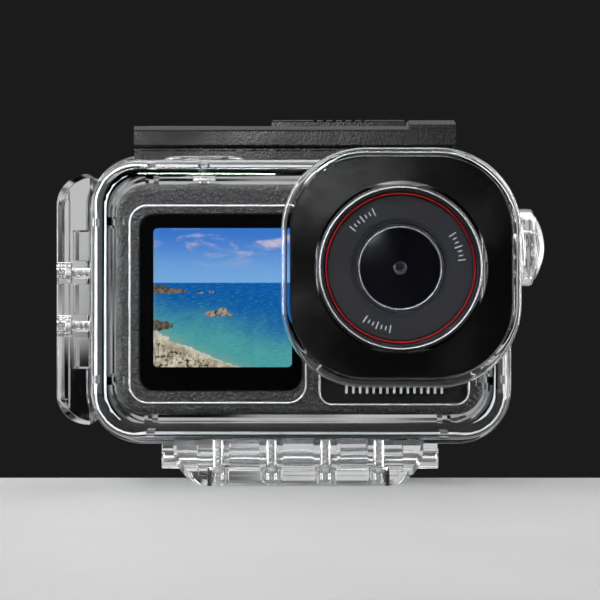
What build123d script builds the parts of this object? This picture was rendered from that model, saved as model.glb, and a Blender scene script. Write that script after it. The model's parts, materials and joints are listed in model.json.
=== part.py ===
from build123d import *
import os

# Action camera in a clear dive case, in millimetres. +Z up, front towards -Y.
# The origin is the centre of the seat under the bottom mounting base.

# ---- driving dimensions ----------------------------------------------------
case_mid_z = 35.5  # height of the case's and the camera's centre line

# camera body
camera_size, camera_corner = (70.5, 44.2), 5.5
camera_front, camera_split, camera_back = -9.0, 2.0, 13.5
cover_wall, cover_front_round, cover_back_round = 1.6, 1.4, 1.8
screw_boss, screw_bore, camera_screw = 1.6, 0.72, 0.7  # radii
camera_screw_head = (1.35, 12.4, 13.2)  # radius, seat and top
camera_screw_places = [(x, case_mid_z + z) for x in (-32.2, 32.2) for z in (-19.3, 19.3)]
battery_door_y, battery_door_z = (-3.0, 9.0), (19.0, 52.0)
usb_y, usb_z = (-3.0, 7.0), (19.0, 30.0)
side_cover_thick, side_cover_gap, side_cover_round = 1.5, 0.12, 0.5

# screens and name plate
screen_mid, screen_glass, screen_corner = (-15.15, 34.95), (31.5, 34.2), 3.0
glass_front, glass_back = -9.6, -8.8
bezel_mid, bezel_size, bezel_corner, bezel_proud = (-15.7, 34.6), (34.0, 38.0), 3.6, 0.5
display_mid, display_size, display_back = (-14.8, 35.85), (26.6, 26.7), -7.4
rear_glass, rear_glass_y = (58.0, 40.0), (12.75, 13.6)
rear_panel, rear_panel_front = (50.6, 36.6), 11.2
badge_mid, badge_size, badge_rim, badge_proud = (18.0, 20.0), (28.8, 9.4), 1.2, 0.8

# case: walls, sealing flange, cavity and door
wall_size, wall_corner = (80.0, 53.6), 9.2
rim_size, rim_corner = (83.8, 57.2), 10.8
cavity_size, cavity_corner = (73.4, 47.1), 6.6
shell_front, shell_inside, rim_front, joint_y = -13.0, -10.8, 4.2, 8.0
wall_edge_round, rim_edge_round, port_edge_round = 3.0, 1.0, 1.3
door_rim_back, door_inside, door_back = 11.0, 15.2, 17.4
door_hollow, door_hollow_corner, door_edge_round = (72.0, 45.4), 6.0, 2.4
gasket_outer, gasket_corner, gasket_width, groove_back = (78.6, 52.3), 8.4, 1.3, 9.2
rib_thick, rib_reach, rib_back = 1.6, 1.7, 4.8
side_rib_heights = {-1: (20.0, 50.4), 1: (20.0,)}
level_rib_places = {-1: (-28.9, 27.9), 1: (-28.7, 31.0)}
pad_place, pad_size, pad_gap = (32.4, 12.0), (4.0, 7.0), 0.15
left_x, bottom_z = -wall_size[0] / 2, case_mid_z - wall_size[1] / 2

# lens port
lens_x, lens_z = 18.8, 41.4
port_size, port_corner, port_front, port_root = 44.6, 15.5, -23.5, -5.0
port_bore, port_bore_corner, port_bore_front = 39.4, 13.0, -21.0
window_size, window_corner, window_front = 41.4, 14.0, -23.1
window_thick, mask_thick, mask_hole = 2.0, 0.8, 16.15

# lens
barrel_radius, barrel_front, barrel_back, glass_radius = 15.7, -19.4, -14.5, 14.85
cover_seat, cover_disc_front = -17.8, -19.0
plinth_size, plinth_corner = 31.8, 10.5
tube_radius, tube_bore, lens_bore = 8.4, 7.7, 8.6

# door hinge
hinge_y, hinge_z, hinge_pin_radius, knuckle_radius = 9.5, 3.9, 1.0, 2.3
shell_knuckles = ((-20.0, -8.0), (8.0, 20.0))
door_knuckles = ((-27.6, -20.3), (-7.7, 7.7), (20.3, 27.6))
held_gap, turning_gap = 0.02, 0.07  # round a pin in the part that holds it, and in the part that turns

# latch and its sliding lock
latch_y, latch_z, latch_pin_radius, latch_radius = 13.6, 67.7, 0.75, 2.4
long_ear, short_ear = (-30.5, -14.0), (22.1, 28.0)
lever_x, lever_under, lever_front = (-32.6, 30.6), 65.3, 0.4
hook_bottom, hook_front, hook_back = 62.8, 1.9, 3.9
raised_top, raised_corner = 71.2, 1.4
channel_x, channel_y, channel_floor = (-10.1, 21.1), (3.4, 9.4), 68.2
pocket_count, pocket_pitch, pocket_width = 9, 6.6, 5.2
lock_x, lock_y, lock_top = (-5.6, 20.8), (3.6, 9.2), 71.0
foot_x, foot_toe_x, foot_y, foot_z = (6.0, 8.7), 11.7, (4.7, 7.8), (64.6, 65.3)
notch_count, notch_first, notch_pitch, notch_width = 6, 2.6, 1.9, 0.8
keeper_y, keeper_z, keeper_x, keeper_post_x = (4.6, 7.9), (63.9, 66.05), (9.2, 14.0), 12.2
keeper_head_low = 65.45

# mounting bases
base_mid_x, base_length, base_front, base_back = -0.3, 47.6, -12.0, 3.9
base_plate_back, base_end_round, base_side_x = 6.8, 7.2, -46.3
bottom_plate, side_plate = 1.9, 1.1
groove_depth, groove_height, groove_half = 1.3, 1.4, 19.0
base_pocket_places, base_pocket_half = (-10.35, 0.0, 10.35), 2.9
screw_y, screw_radius, head_radius, head_height, head_round = -4.0, 1.0, 1.9, 1.3, 0.5
screw_clearance, head_bore = 0.06, 2.1
bottom_head_seat, side_head_seat = 3.2, 2.3
bottom_screw_length, side_screw_length = 7.7, 6.1
bottom_screws = [base_mid_x + x for x in (-15.5, -5.2, 5.2, 15.5)]
side_screws = [case_mid_z + z for z in (-5.1, 5.1)]

# push buttons: bores are radii for the cap, the sealing ring and the stem
shutter_x, shutter_y = -18.5, -4.6
mode_y, mode_z = -3.4, 45.6
shutter_boss, shutter_boss_root, shutter_boss_top = (16.0, 9.6), 59.5, 63.1
shutter_floor, shutter_seat, shutter_bores = 60.7, 59.85, (4.45, 2.0, 1.12)
mode_boss_radius, mode_boss_root, mode_boss_face = 7.5, 38.5, 45.1
mode_floor, mode_seat, mode_bores = 41.4, 40.4, (6.35, 2.6, 1.56)
boss_edge_round = 0.75
# springs: radius, wire, free length, turns; pressed, they stack no higher than the room left under the cap
shutter_coil, mode_coil = (3.1, 0.18, 1.18, 0.95), (4.3, 0.38, 1.78, 1.6)

front_axis = Axis.Y


# ---- small builders --------------------------------------------------------
def prism(size, corner, front, back, middle=(0.0, case_mid_z)):
    """Rounded rectangle in XZ carried from y = front to y = back."""
    plane = Plane((middle[0], back, middle[1]), x_dir=(1, 0, 0), z_dir=(0, -1, 0))
    return extrude(plane * RectangleRounded(*size, corner), back - front)


def block(x, y, z):
    """Box between three (low, high) pairs."""
    middle = [(low + high) / 2 for low, high in (x, y, z)]
    return Pos(*middle) * Box(x[1] - x[0], y[1] - y[0], z[1] - z[0])


def rod_x(radius, low, high, y, z):
    return Location(((low + high) / 2, y, z), (0, 90, 0)) * Cylinder(radius, high - low)


def rod_y(radius, low, high, x=lens_x, z=lens_z):
    return Location((x, (low + high) / 2, z), (90, 0, 0)) * Cylinder(radius, high - low)


def rod_z(radius, low, high, x, y):
    return Pos(x, y, (low + high) / 2) * Cylinder(radius, high - low)


def bar_x(points, low, high):
    """Polygon of (y, z) points carried along X."""
    face = Plane.YZ.offset(low) * make_face(Polyline(*points, close=True))
    return extrude(face, high - low)


def spun(points):
    """Polygon of (radius, y) points turned about the lens axis."""
    plane = Plane((lens_x, 0, lens_z), x_dir=(1, 0, 0), z_dir=(0, 0, 1))
    face = plane * make_face(Polyline(*points, close=True))
    return revolve(face, Axis((lens_x, 0, lens_z), (0, 1, 0)))


def front_edges(part):
    return part.edges().group_by(front_axis)[0]


def back_edges(part):
    return part.edges().group_by(front_axis)[-1]


# ---- clear case: front shell ----------------------------------------------
def locating_ribs():
    """Fins between the case wall and the camera, each with a lip over the camera's front edge."""
    half_w, half_h = camera_size[0] / 2 + 0.1, camera_size[1] / 2 + 0.1
    deep, lip = (shell_inside - 0.1, rib_back), (shell_inside - 0.1, camera_front - 0.1)
    ribs = []
    for side, heights in side_rib_heights.items():
        for z in heights:
            level = (z - rib_thick / 2, z + rib_thick / 2)
            ends = sorted((side * half_w, side * (cavity_size[0] / 2 + 0.5)))
            over = sorted((side * (half_w - rib_reach), side * (cavity_size[0] / 2 + 0.5)))
            ribs += [block(ends, deep, level), block(over, lip, level)]
    for side, places in level_rib_places.items():
        for x in places:
            across = (x - rib_thick / 2, x + rib_thick / 2)
            edge = case_mid_z + side * (cavity_size[1] / 2 + 0.5)
            ends = sorted((case_mid_z + side * half_h, edge))
            over = sorted((case_mid_z + side * (half_h - rib_reach), edge))
            ribs += [block(across, deep, ends), block(across, lip, over)]
    return ribs


def latch_keeper():
    """Post on the flange whose head the sliding lock's foot passes under."""
    post = block((keeper_post_x, keeper_x[1]), keeper_y, keeper_z)
    return [post, block(keeper_x, keeper_y, (keeper_head_low, keeper_z[1]))]


def front_shell():
    body = prism(wall_size, wall_corner, shell_front, joint_y)
    body = fillet(front_edges(body), wall_edge_round)
    rim = prism(rim_size, rim_corner, rim_front, joint_y)
    rim = fillet(front_edges(rim), rim_edge_round)
    port = prism((port_size, port_size), port_corner, port_front, port_root, (lens_x, lens_z))
    port = fillet(front_edges(port), port_edge_round)
    slot = Plane((shutter_x, shutter_y, shutter_boss_root)) * SlotOverall(*shutter_boss)
    boss = extrude(slot, shutter_boss_top - shutter_boss_root)
    boss = fillet(boss.edges().group_by(Axis.Z)[-1], boss_edge_round)
    side_boss = rod_x(mode_boss_radius, mode_boss_root, mode_boss_face, mode_y, mode_z)
    side_boss = fillet(side_boss.edges().group_by(Axis.X)[-1], boss_edge_round)
    shell = body + rim + port + boss + side_boss
    shell -= prism(cavity_size, cavity_corner, shell_inside, joint_y)
    bore = (port_bore, port_bore)
    shell -= prism(bore, port_bore_corner, port_bore_front, shell_inside, (lens_x, lens_z))
    seat = (window_size + 0.2, window_size + 0.2)
    seat_back = window_front + window_thick + mask_thick
    shell -= prism(seat, window_corner + 0.1, port_front, seat_back, (lens_x, lens_z))
    for x in shell_knuckles:
        shell += block(x, (4.4, 7.9), (2.4, 7.4))
        shell += block(x, (4.4, hinge_y), (2.4, 6.1))
        shell += rod_x(knuckle_radius, *x, hinge_y, hinge_z)
    for extra in locating_ribs() + latch_keeper():
        shell += extra
    shell -= rod_x(hinge_pin_radius + held_gap, -30, 30, hinge_y, hinge_z)
    for radius, low in zip(shutter_bores, (shutter_floor, shutter_seat, 58)):
        shell -= rod_z(radius, low, shutter_boss_top + 2, shutter_x, shutter_y)
    for radius, low in zip(mode_bores, (mode_floor, mode_seat, 36)):
        shell -= rod_x(radius, low, mode_boss_face + 2, mode_y, mode_z)
    hole = screw_radius + screw_clearance
    for x in bottom_screws:
        shell -= rod_z(hole, bottom_z - 1, bottom_z + 2.5, x, screw_y)
    for z in side_screws:
        shell -= rod_x(hole, left_x - 1, left_x + 2.4, screw_y, z)
    return shell


def port_window():
    size = (window_size, window_size)
    back = window_front + window_thick
    pane = prism(size, window_corner, window_front, back, (lens_x, lens_z))
    return fillet(front_edges(pane), 0.35)


def port_mask():
    size = (window_size, window_size)
    front = window_front + window_thick
    plate = prism(size, window_corner, front, front + mask_thick, (lens_x, lens_z))
    return plate - rod_y(mask_hole, front - 1, front + 2)


# ---- clear case: rear door -------------------------------------------------
def rear_door():
    rim = prism(rim_size, rim_corner, joint_y, door_rim_back)
    rim = fillet(back_edges(rim), 0.8)
    body = prism(wall_size, wall_corner, joint_y + 1, door_back)
    body = fillet(back_edges(body), door_edge_round)
    door = rim + body
    for x, radius in ((long_ear, 2.9), (short_ear, latch_radius)):
        door += block(x, (latch_y - 2.4, latch_y + 2.4), (61.5, latch_z))
        door += rod_x(radius, *x, latch_y, latch_z)
    for x in door_knuckles:
        door += block(x, (joint_y + 0.2, hinge_y + knuckle_radius), (hinge_z, 9.2))
        door += rod_x(knuckle_radius, *x, hinge_y, hinge_z)
    door -= prism(door_hollow, door_hollow_corner, joint_y - 1, door_inside)
    groove = prism(gasket_outer, gasket_corner, joint_y - 1, groove_back)
    door -= groove - gasket_core(joint_y - 1, groove_back)
    door -= rod_x(hinge_pin_radius + turning_gap, -30, 30, hinge_y, hinge_z)
    door -= rod_x(latch_pin_radius + held_gap, -35, 35, latch_y, latch_z)
    return door


def gasket_core(front, back):
    inner = [side - 2 * gasket_width for side in gasket_outer]
    return prism(inner, gasket_corner - gasket_width, front, back)


def door_gasket():
    ring = prism(gasket_outer, gasket_corner, joint_y + 0.03, groove_back)
    return ring - gasket_core(joint_y - 1, groove_back + 1)


def rear_pads():
    """Four soft blocks on the door that press on the camera's back."""
    pads = []
    half_x, half_z = pad_size[0] / 2, pad_size[1] / 2
    for x in (-pad_place[0], pad_place[0]):
        for z in (case_mid_z - pad_place[1], case_mid_z + pad_place[1]):
            deep = (camera_back + pad_gap, door_inside)
            pad = block((x - half_x, x + half_x), deep, (z - half_z, z + half_z))
            pads.append(fillet(front_edges(pad), 0.6))
    return pads


def hinge_pin():
    return chamfer(rod_x(hinge_pin_radius, -27.3, 27.3, hinge_y, hinge_z).edges(), 0.2)


# ---- latch -----------------------------------------------------------------
def latch_lever():
    """Bar with a rounded nose, ribbed hook below it, pivot tube behind and a raised end."""
    nose = [(lever_front, lever_under), (lever_front, 68.7), (1.5, 69.6), (12.9, 70.05)]
    lever = bar_x(nose + [(latch_y, 70.1), (latch_y, lever_under)], *lever_x)
    lever = fillet(lever.edges().filter_by(Axis.X).group_by(Axis.Y)[0], 0.6)
    hook = [(hook_front, hook_bottom), (hook_back, hook_bottom), (hook_back, 66), (hook_front, 66)]
    lever += bar_x(hook, *lever_x)
    lever += rod_x(latch_radius, *lever_x, latch_y, latch_z)
    end = [(0.9, 67.5), (0.9, 69.9), (2.0, 70.8), (12.9, raised_top), (latch_y, 70.8), (latch_y, 67.5)]
    outline = block((channel_x[1], lever_x[1]), (-5, 20), (60, raised_top + 0.1))
    corner = outline.edges().filter_by(Axis.Y).group_by(Axis.X)[-1].sort_by(Axis.Z)[-1]
    lever += bar_x(end, channel_x[1] + 0.4, lever_x[1]) & fillet(corner, raised_corner)
    first = lever_x[0] + 1.5
    for place in range(pocket_count):
        left = first + place * pocket_pitch
        lever -= block((left, left + pocket_width), (hook_front - 1, 2.8), (63.2, 64.9))
    lever -= block(channel_x, channel_y, (channel_floor, 75))
    lever -= block((1.7, 14.3), (4.3, 8.3), (60, 70))
    for ear in (long_ear, short_ear):
        lever -= block((ear[0] - 0.3, ear[1] + 0.3), (10.6, 20), (60, 75))
    return lever - rod_x(latch_pin_radius + 0.05, -40, 40, latch_y, latch_z)


def latch_pin():
    return rod_x(latch_pin_radius, -32.2, 30.2, latch_y, latch_z)


def lock_slider():
    """Ridged bar in the latch's channel with a foot that reaches under the keeper's head."""
    bar = block(lock_x, lock_y, (channel_floor + 0.1, lock_top))
    bar = fillet(bar.edges().group_by(Axis.Z)[-1], 0.45)
    for step in range(notch_count):
        left = notch_first + step * notch_pitch
        bar -= block((left, left + notch_width), (3.0, 10.0), (lock_top - 0.45, lock_top + 1))
    bar += block(foot_x, foot_y, (foot_z[0], channel_floor + 0.3))
    return bar + block((foot_x[0], foot_toe_x), foot_y, foot_z)


# ---- mounting bases --------------------------------------------------------
def base_block(length, plate, top, front, back, plate_back):
    """Base seen from below: plate with a lip, claw groove above it, pocketed block on top."""
    half = length / 2
    body = block((-half, half), (front, back), (0, top))
    body += block((-half, half), (front, plate_back), (0, plate))
    ends = body.edges().filter_by(Axis.Y).group_by(Axis.Z)[0]
    body = fillet(ends, min(base_end_round, top - 0.4))
    groove = (plate, plate + groove_height)
    return body - block((-groove_half, groove_half), (front - 1, front + groove_depth), groove)


def base_pockets(places, plate, top):
    low = plate + groove_height + 0.4
    deep = (base_front + 2.4, base_back - 2)
    return [block((x - base_pocket_half, x + base_pocket_half), deep, (low, top + 1)) for x in places]


def bottom_base():
    base = base_block(base_length, bottom_plate, bottom_z, base_front, base_back, base_plate_back)
    for pocket in base_pockets(base_pocket_places, bottom_plate, bottom_z):
        base -= pocket
    base = Pos(base_mid_x, 0, 0) * base
    for x in bottom_screws:
        base -= rod_z(head_bore, -1, bottom_head_seat, x, screw_y)
        base -= rod_z(screw_radius + screw_clearance, bottom_head_seat - 0.2, 10, x, screw_y)
    return base


def side_base():
    thick = left_x - base_side_x
    base = base_block(base_length, side_plate, thick, base_front, base_back, base_plate_back)
    for pocket in base_pockets(base_pocket_places, side_plate, thick):
        base -= pocket
    base = Location((base_side_x, 0, case_mid_z), (0, 90, 0)) * base
    for z in side_screws:
        base -= rod_x(head_bore, base_side_x - 1, base_side_x + side_head_seat, screw_y, z)
        base -= rod_x(screw_radius + screw_clearance, base_side_x + 2, left_x + 1, screw_y, z)
    return base


def screw(length):
    """Pan head screw along +Z, its head seated at z = 0 and standing below it."""
    head = Pos(0, 0, -head_height / 2) * Cylinder(head_radius, head_height)
    head = fillet(head.edges().group_by(Axis.Z)[0], head_round)
    for turn in (0, 90):
        head -= Rot(0, 0, turn) * Pos(0, 0, -head_height) * Box(2.2, 0.5, 1.2)
    shank = Pos(0, 0, length / 2) * Cylinder(screw_radius, length)
    return head + chamfer(shank.edges().group_by(Axis.Z)[-1], 0.4)


def bottom_base_screws():
    return [Pos(x, screw_y, bottom_head_seat) * screw(bottom_screw_length) for x in bottom_screws]


def side_base_screws():
    seat = base_side_x + side_head_seat
    return [Location((seat, screw_y, z), (0, 90, 0)) * screw(side_screw_length) for z in side_screws]


# ---- push buttons of the case ---------------------------------------------
def plunger(cap_radius, cap, dome, stem_radius, stem_end, groove):
    """Button along +Z: cap between two heights, domed top, stem with a clip groove."""
    body = Pos(0, 0, (cap[0] + cap[1]) / 2) * Cylinder(cap_radius, cap[1] - cap[0])
    ball = (cap_radius**2 + dome**2) / (2 * dome)
    crown = Pos(0, 0, cap[1] + dome - ball) * Sphere(ball)
    body += crown & (Pos(0, 0, cap[1] + dome / 2) * Box(3 * cap_radius, 3 * cap_radius, dome))
    body += Pos(0, 0, (stem_end + cap[0]) / 2) * Cylinder(stem_radius, cap[0] - stem_end)
    ring = Pos(0, 0, sum(groove) / 2) * Cylinder(stem_radius + 1, groove[1] - groove[0])
    return body - (ring - Pos(0, 0, sum(groove) / 2) * Cylinder(stem_radius - 0.3, 2))


def spring(radius, wire, length, turns):
    """Round wire coil standing on z = 0."""
    rise = length - wire
    path = Helix(pitch=rise / turns, height=rise, radius=radius)
    section = Plane(path @ 0, z_dir=path % 0) * Circle(wire / 2)
    return Pos(0, 0, wire / 2) * sweep(section, path=path)


def clip(inner, outer, thick):
    """Open retaining ring about +Z, middle on z = 0."""
    ring = Cylinder(outer, thick) - Cylinder(inner, thick * 2)
    return ring - Pos(outer, 0, 0) * Box(outer * 2, inner * 1.5, thick * 2)


def along_x(x=0.0):
    """Place that turns +Z of a button part to +X, on the mode button's axis."""
    return Location((x, mode_y, mode_z), (0, 90, 0))


def shutter_parts():
    foot = Pos(shutter_x, shutter_y, 0)
    return {
        "shutter_plunger": foot * plunger(4.3, (61.9, 63.0), 0.55, 1.05, 57.95, (58.42, 58.88)),
        "shutter_spring": foot * Pos(0, 0, shutter_floor) * spring(*shutter_coil),
        "shutter_o_ring": foot * Pos(0, 0, 60.28) * Torus(1.53, 0.41),
        "shutter_clip": foot * Pos(0, 0, 58.65) * clip(0.78, 2.2, 0.4),
    }


def mode_parts():
    return {
        "mode_plunger": along_x() * plunger(6.2, (43.2, 45.5), 1.9, 1.5, 35.75, (36.12, 36.58)),
        "mode_spring": along_x(mode_floor) * spring(*mode_coil),
        "mode_o_ring": along_x(40.9) * Torus(2.05, 0.47),
        "mode_clip": along_x(36.35) * clip(1.23, 2.9, 0.4),
    }


# ---- camera body -----------------------------------------------------------
def side_openings():
    """Windows for the two side covers, the two buttons and the case's screws."""
    half = camera_size[0] / 2
    return [
        block((-half - 1, -half + cover_wall + 1), battery_door_y, battery_door_z),
        block((half - cover_wall - 1, half + 1), usb_y, usb_z),
        rod_z(3.5, 53.5, 60, shutter_x, shutter_y),
        rod_x(3.95, 31.5, 37, mode_y, mode_z),
    ]


def camera_front_cover():
    body = prism(camera_size, camera_corner, camera_front, camera_split)
    body = fillet(front_edges(body), cover_front_round)
    hollow = [side - 2 * cover_wall for side in camera_size]
    corner = camera_corner - cover_wall
    cover = body - prism(hollow, corner, camera_front + cover_wall, camera_split)
    cover -= prism(screen_glass, screen_corner, camera_front - 1, glass_back, screen_mid)
    display_hole = [side + 1.0 for side in display_size]
    cover -= prism(display_hole, 1.0, camera_front - 1, 0, display_mid)
    cover -= rod_y(lens_bore, camera_front - 1, 0)
    for opening in side_openings():
        cover -= opening
    for x, z in camera_screw_places:
        cover += rod_y(screw_boss, camera_front + 1, camera_split, x, z) & body
        cover -= rod_y(screw_bore, -6, camera_split + 1, x, z)
    return cover


def camera_rear_cover():
    body = prism(camera_size, camera_corner, camera_split, camera_back)
    body = fillet(back_edges(body), cover_back_round)
    hollow = [side - 2 * cover_wall for side in camera_size]
    cover = body - prism(hollow, camera_corner - cover_wall, camera_split, 12.0)
    cover -= prism((58.2, 40.2), 3.1, 12.75, camera_back + 1)
    cover -= prism((51.0, 37.0), 1.0, 11, camera_back + 1)
    for opening in side_openings():
        cover -= opening
    for x, z in camera_screw_places:
        cover += rod_y(1.9, camera_split, 12.5, x, z) & body
        cover -= rod_y(0.75, camera_split - 1, 14, x, z)
        cover -= rod_y(1.45, 12.4, 14, x, z)
    return cover


def camera_screws():
    made = []
    for x, z in camera_screw_places:
        radius, seat, top = camera_screw_head
        head = rod_y(radius, seat, top, x, z)
        slot = block((x - 0.8, x + 0.8), (top - 0.3, top + 1), (z - 0.2, z + 0.2))
        made.append(head - slot + rod_y(camera_screw, -5.5, seat, x, z))
    return made


def screen_bezel():
    """Raised frame round the front screen with a polished chamfer."""
    plate = prism(bezel_size, bezel_corner, camera_front - bezel_proud, camera_front, bezel_mid)
    plate = chamfer(front_edges(plate), 0.35)
    return plate - prism(screen_glass, screen_corner, -11, -8, screen_mid)


def front_screen_glass():
    size = [side - 0.1 for side in screen_glass]
    glass = prism(size, screen_corner - 0.05, glass_front, glass_back, screen_mid)
    return chamfer(front_edges(glass), 0.15)


def badge_plate():
    """Gloss name plate area under the lens, with a polished rim and no lettering."""
    plate = prism(badge_size, 2.6, camera_front - badge_proud, camera_front, badge_mid)
    plate = chamfer(front_edges(plate), 0.5)
    field = [side - 2 * badge_rim for side in badge_size]
    return plate - prism(field, 1.6, camera_front - 1, camera_front - 0.55, badge_mid)


def battery_door():
    x = -camera_size[0] / 2
    gap = side_cover_gap
    y = (battery_door_y[0] + gap, battery_door_y[1] - gap)
    z = (battery_door_z[0] + gap, battery_door_z[1] - gap)
    door = fillet(block((x, x + side_cover_thick), y, z).edges().filter_by(Axis.X), side_cover_round)
    return door - block((x - 1, x + 0.8), (0.4, 5.6), (44.4, 50.2))


def battery_latch():
    x = -camera_size[0] / 2
    button = block((x + 0.1, x + 0.7), (0.7, 5.3), (44.8, 49.0))
    for step in range(4):
        low = 45.4 + step * 0.9
        button -= block((x - 1, x + 0.3), (0, 6), (low, low + 0.4))
    return button


def usb_cover():
    x = camera_size[0] / 2
    gap = side_cover_gap
    y = (usb_y[0] + gap, usb_y[1] - gap)
    z = (usb_z[0] + gap, usb_z[1] - gap)
    cover = fillet(block((x - side_cover_thick, x), y, z).edges().filter_by(Axis.X), side_cover_round)
    return cover - block((x - 0.3, x + 1), (0.5, 3.5), (z[0] + 0.6, z[0] + 1.4))


def camera_shutter_button():
    button = rod_z(3.35, 55.2, 57.85, shutter_x, shutter_y)
    return fillet(button.edges().group_by(Axis.Z)[-1], 0.3)


def camera_power_button():
    button = rod_x(3.8, 32.8, 35.65, mode_y, mode_z)
    return fillet(button.edges().group_by(Axis.X)[-1], 0.35)


# ---- camera inside ---------------------------------------------------------
def main_board():
    board = block((-33, 33), (8.0, 9.0), (15.6, 55.4))
    for x, z in camera_screw_places:
        board -= rod_y(2.1, 7, 10, x, z)
    board += block((6, 20), (7.0, 8.0), (30, 44))
    board += block((22.5, 30), (7.2, 8.0), (34, 42))
    return board + block((-30, -18), (9.0, 9.8), (24, 34))


def battery():
    cell = block((-32.4, -1.0), (-6.4, 6.8), (18.4, 52.6))
    return fillet(cell.edges().filter_by(Axis.X), 1.2)


def sensor_board():
    return block((lens_x - 11, lens_x + 11), (3.0, 4.0), (lens_z - 11, lens_z + 11))


def image_sensor():
    return block((lens_x - 5.2, lens_x + 5.2), (1.8, 3.0), (lens_z - 4.2, lens_z + 4.2))


def heat_spreader():
    return block((4.5, 30), (5.0, 6.0), (24, 55))


def speaker():
    case = block((6, 20), (-6.0, -1.0), (15.6, 20.8))
    return fillet(case.edges().filter_by(Axis.Y), 1.0)


# ---- lens ------------------------------------------------------------------
def lens_housing():
    """Rounded square plinth between the camera's face and the round barrel."""
    plinth = prism((plinth_size, plinth_size), plinth_corner, barrel_back, camera_front, (lens_x, lens_z))
    plinth = fillet(front_edges(plinth), 1.0)
    return plinth - rod_y(tube_radius + 0.05, -16, -8)


def lens_barrel_ring():
    points = [
        (8.5, barrel_back),
        (barrel_radius, barrel_back),
        (barrel_radius, barrel_front + 0.5),
        (barrel_radius - 0.5, barrel_front),
        (glass_radius + 0.3, barrel_front),
        (glass_radius + 0.05, barrel_front + 0.3),
        (glass_radius + 0.05, cover_seat),
        (14.3, cover_seat),
        (14.3, -17.2),
        (13.8, -17.2),
        (13.8, -16.4),
        (8.5, -15.4),
    ]
    return spun(points)


def lens_accent_ring():
    return spun([(13.8, -17.75), (14.25, -17.75), (14.25, -17.2), (13.8, -17.2)])


def lens_label_ring():
    points = [(8.45, -16.3), (9.7, -17.2), (13.7, -17.6), (13.75, -16.42), (8.5, -15.4)]
    return spun(points)


def lens_cover_glass():
    disc = rod_y(glass_radius, cover_disc_front, cover_seat)
    return chamfer(front_edges(disc), 0.2)


def lens_tube():
    points = [
        (tube_radius, -15.3),
        (tube_radius, 2.95),
        (tube_bore, 2.95),
        (tube_bore, -6.0),
        (2.6, -8.0),
        (2.6, -9.4),
        (5.0, -10.6),
        (5.0, -12.4),
        (tube_bore, -12.4),
        (tube_bore, -15.3),
    ]
    return spun(points)


def lens_retainer():
    return spun([(7.0, -15.9), (8.35, -16.2), (8.4, -15.35), (7.0, -15.35)])


def glass_element(radius, front, thick, curve):
    """Plano-convex element: a ball cap that faces forward."""
    cap = Location((lens_x, front + curve, lens_z)) * Sphere(curve)
    return cap & rod_y(radius, front, front + thick)


def front_lens():
    """Large front element with the flange that the retainer holds."""
    return glass_element(6.9, -17.1, 4.6, 9.4) + rod_y(7.6, -15.25, -12.5)


def inner_lens():
    return glass_element(2.55, -10.2, 2.0, 3.0)


def part_table():
    single = (
        front_shell, port_window, port_mask, rear_door, door_gasket, rear_pads, hinge_pin,
        latch_lever, latch_pin, lock_slider, bottom_base, bottom_base_screws, side_base,
        side_base_screws, camera_front_cover, camera_rear_cover, camera_screws, screen_bezel,
        front_screen_glass, badge_plate, battery_door, battery_latch, usb_cover,
        camera_shutter_button, camera_power_button, main_board, battery, sensor_board,
        image_sensor, heat_spreader, speaker, lens_housing, lens_barrel_ring, lens_accent_ring,
        lens_label_ring, lens_cover_glass, lens_tube, lens_retainer, front_lens, inner_lens,
    )
    table = {make.__name__: make() for make in single}
    table["front_display"] = prism(display_size, 0.8, glass_back, display_back, display_mid)
    table["rear_screen_glass"] = prism(rear_glass, 3.0, *rear_glass_y)
    table["rear_display"] = prism(rear_panel, 0.8, rear_panel_front, rear_glass_y[0])
    return table | shutter_parts() | mode_parts()


os.makedirs("parts", exist_ok=True)
for name, shape in part_table().items():
    if isinstance(shape, list):
        shape = Compound(children=shape)
    export_step(shape, f"parts/{name}.step")
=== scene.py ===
import json
import math

import bmesh
import bpy
import numpy as np
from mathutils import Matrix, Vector


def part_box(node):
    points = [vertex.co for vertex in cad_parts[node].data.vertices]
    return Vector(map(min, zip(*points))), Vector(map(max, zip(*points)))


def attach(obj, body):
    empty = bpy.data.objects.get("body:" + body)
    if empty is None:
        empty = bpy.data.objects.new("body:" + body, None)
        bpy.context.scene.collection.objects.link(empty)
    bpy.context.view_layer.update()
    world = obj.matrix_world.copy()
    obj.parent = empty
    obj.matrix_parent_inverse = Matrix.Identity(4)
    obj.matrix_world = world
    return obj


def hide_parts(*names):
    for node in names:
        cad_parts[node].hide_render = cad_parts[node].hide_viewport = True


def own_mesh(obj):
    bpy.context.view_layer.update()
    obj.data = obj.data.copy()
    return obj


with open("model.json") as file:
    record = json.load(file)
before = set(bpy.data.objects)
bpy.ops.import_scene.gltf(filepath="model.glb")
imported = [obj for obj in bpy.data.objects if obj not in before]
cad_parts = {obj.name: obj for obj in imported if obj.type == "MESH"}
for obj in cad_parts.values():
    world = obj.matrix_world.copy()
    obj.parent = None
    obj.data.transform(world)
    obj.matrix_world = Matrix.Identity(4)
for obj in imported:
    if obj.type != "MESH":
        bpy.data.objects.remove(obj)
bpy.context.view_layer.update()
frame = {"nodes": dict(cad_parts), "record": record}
bodyOf = {node: body for body, nodes in frame["record"]["behaviour"]["bodies"].items() for node in nodes}
mm = 0.001
print("stage: frame loaded,", len(bodyOf), "nodes")


# nodes: one call makes a node, sets its sockets and links what is given as a socket
def add(tree, kind, inputs=None, **settings):
    made = tree.nodes.new("ShaderNode" + kind)
    for key, value in settings.items():
        setattr(made, key, value)
    for key, value in (inputs or {}).items():
        socket = made.inputs[key]
        if isinstance(value, bpy.types.NodeSocket):
            tree.links.new(value, socket)
        else:
            socket.default_value = value
    return made


def sums(tree, operation, *values):
    return add(tree, "Math", dict(enumerate(values)), operation=operation).outputs[0]


def mixColours(tree, share, low, high):
    return add(tree, "Mix", {0: share, 6: low, 7: high}, data_type="RGBA").outputs[2]


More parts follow.
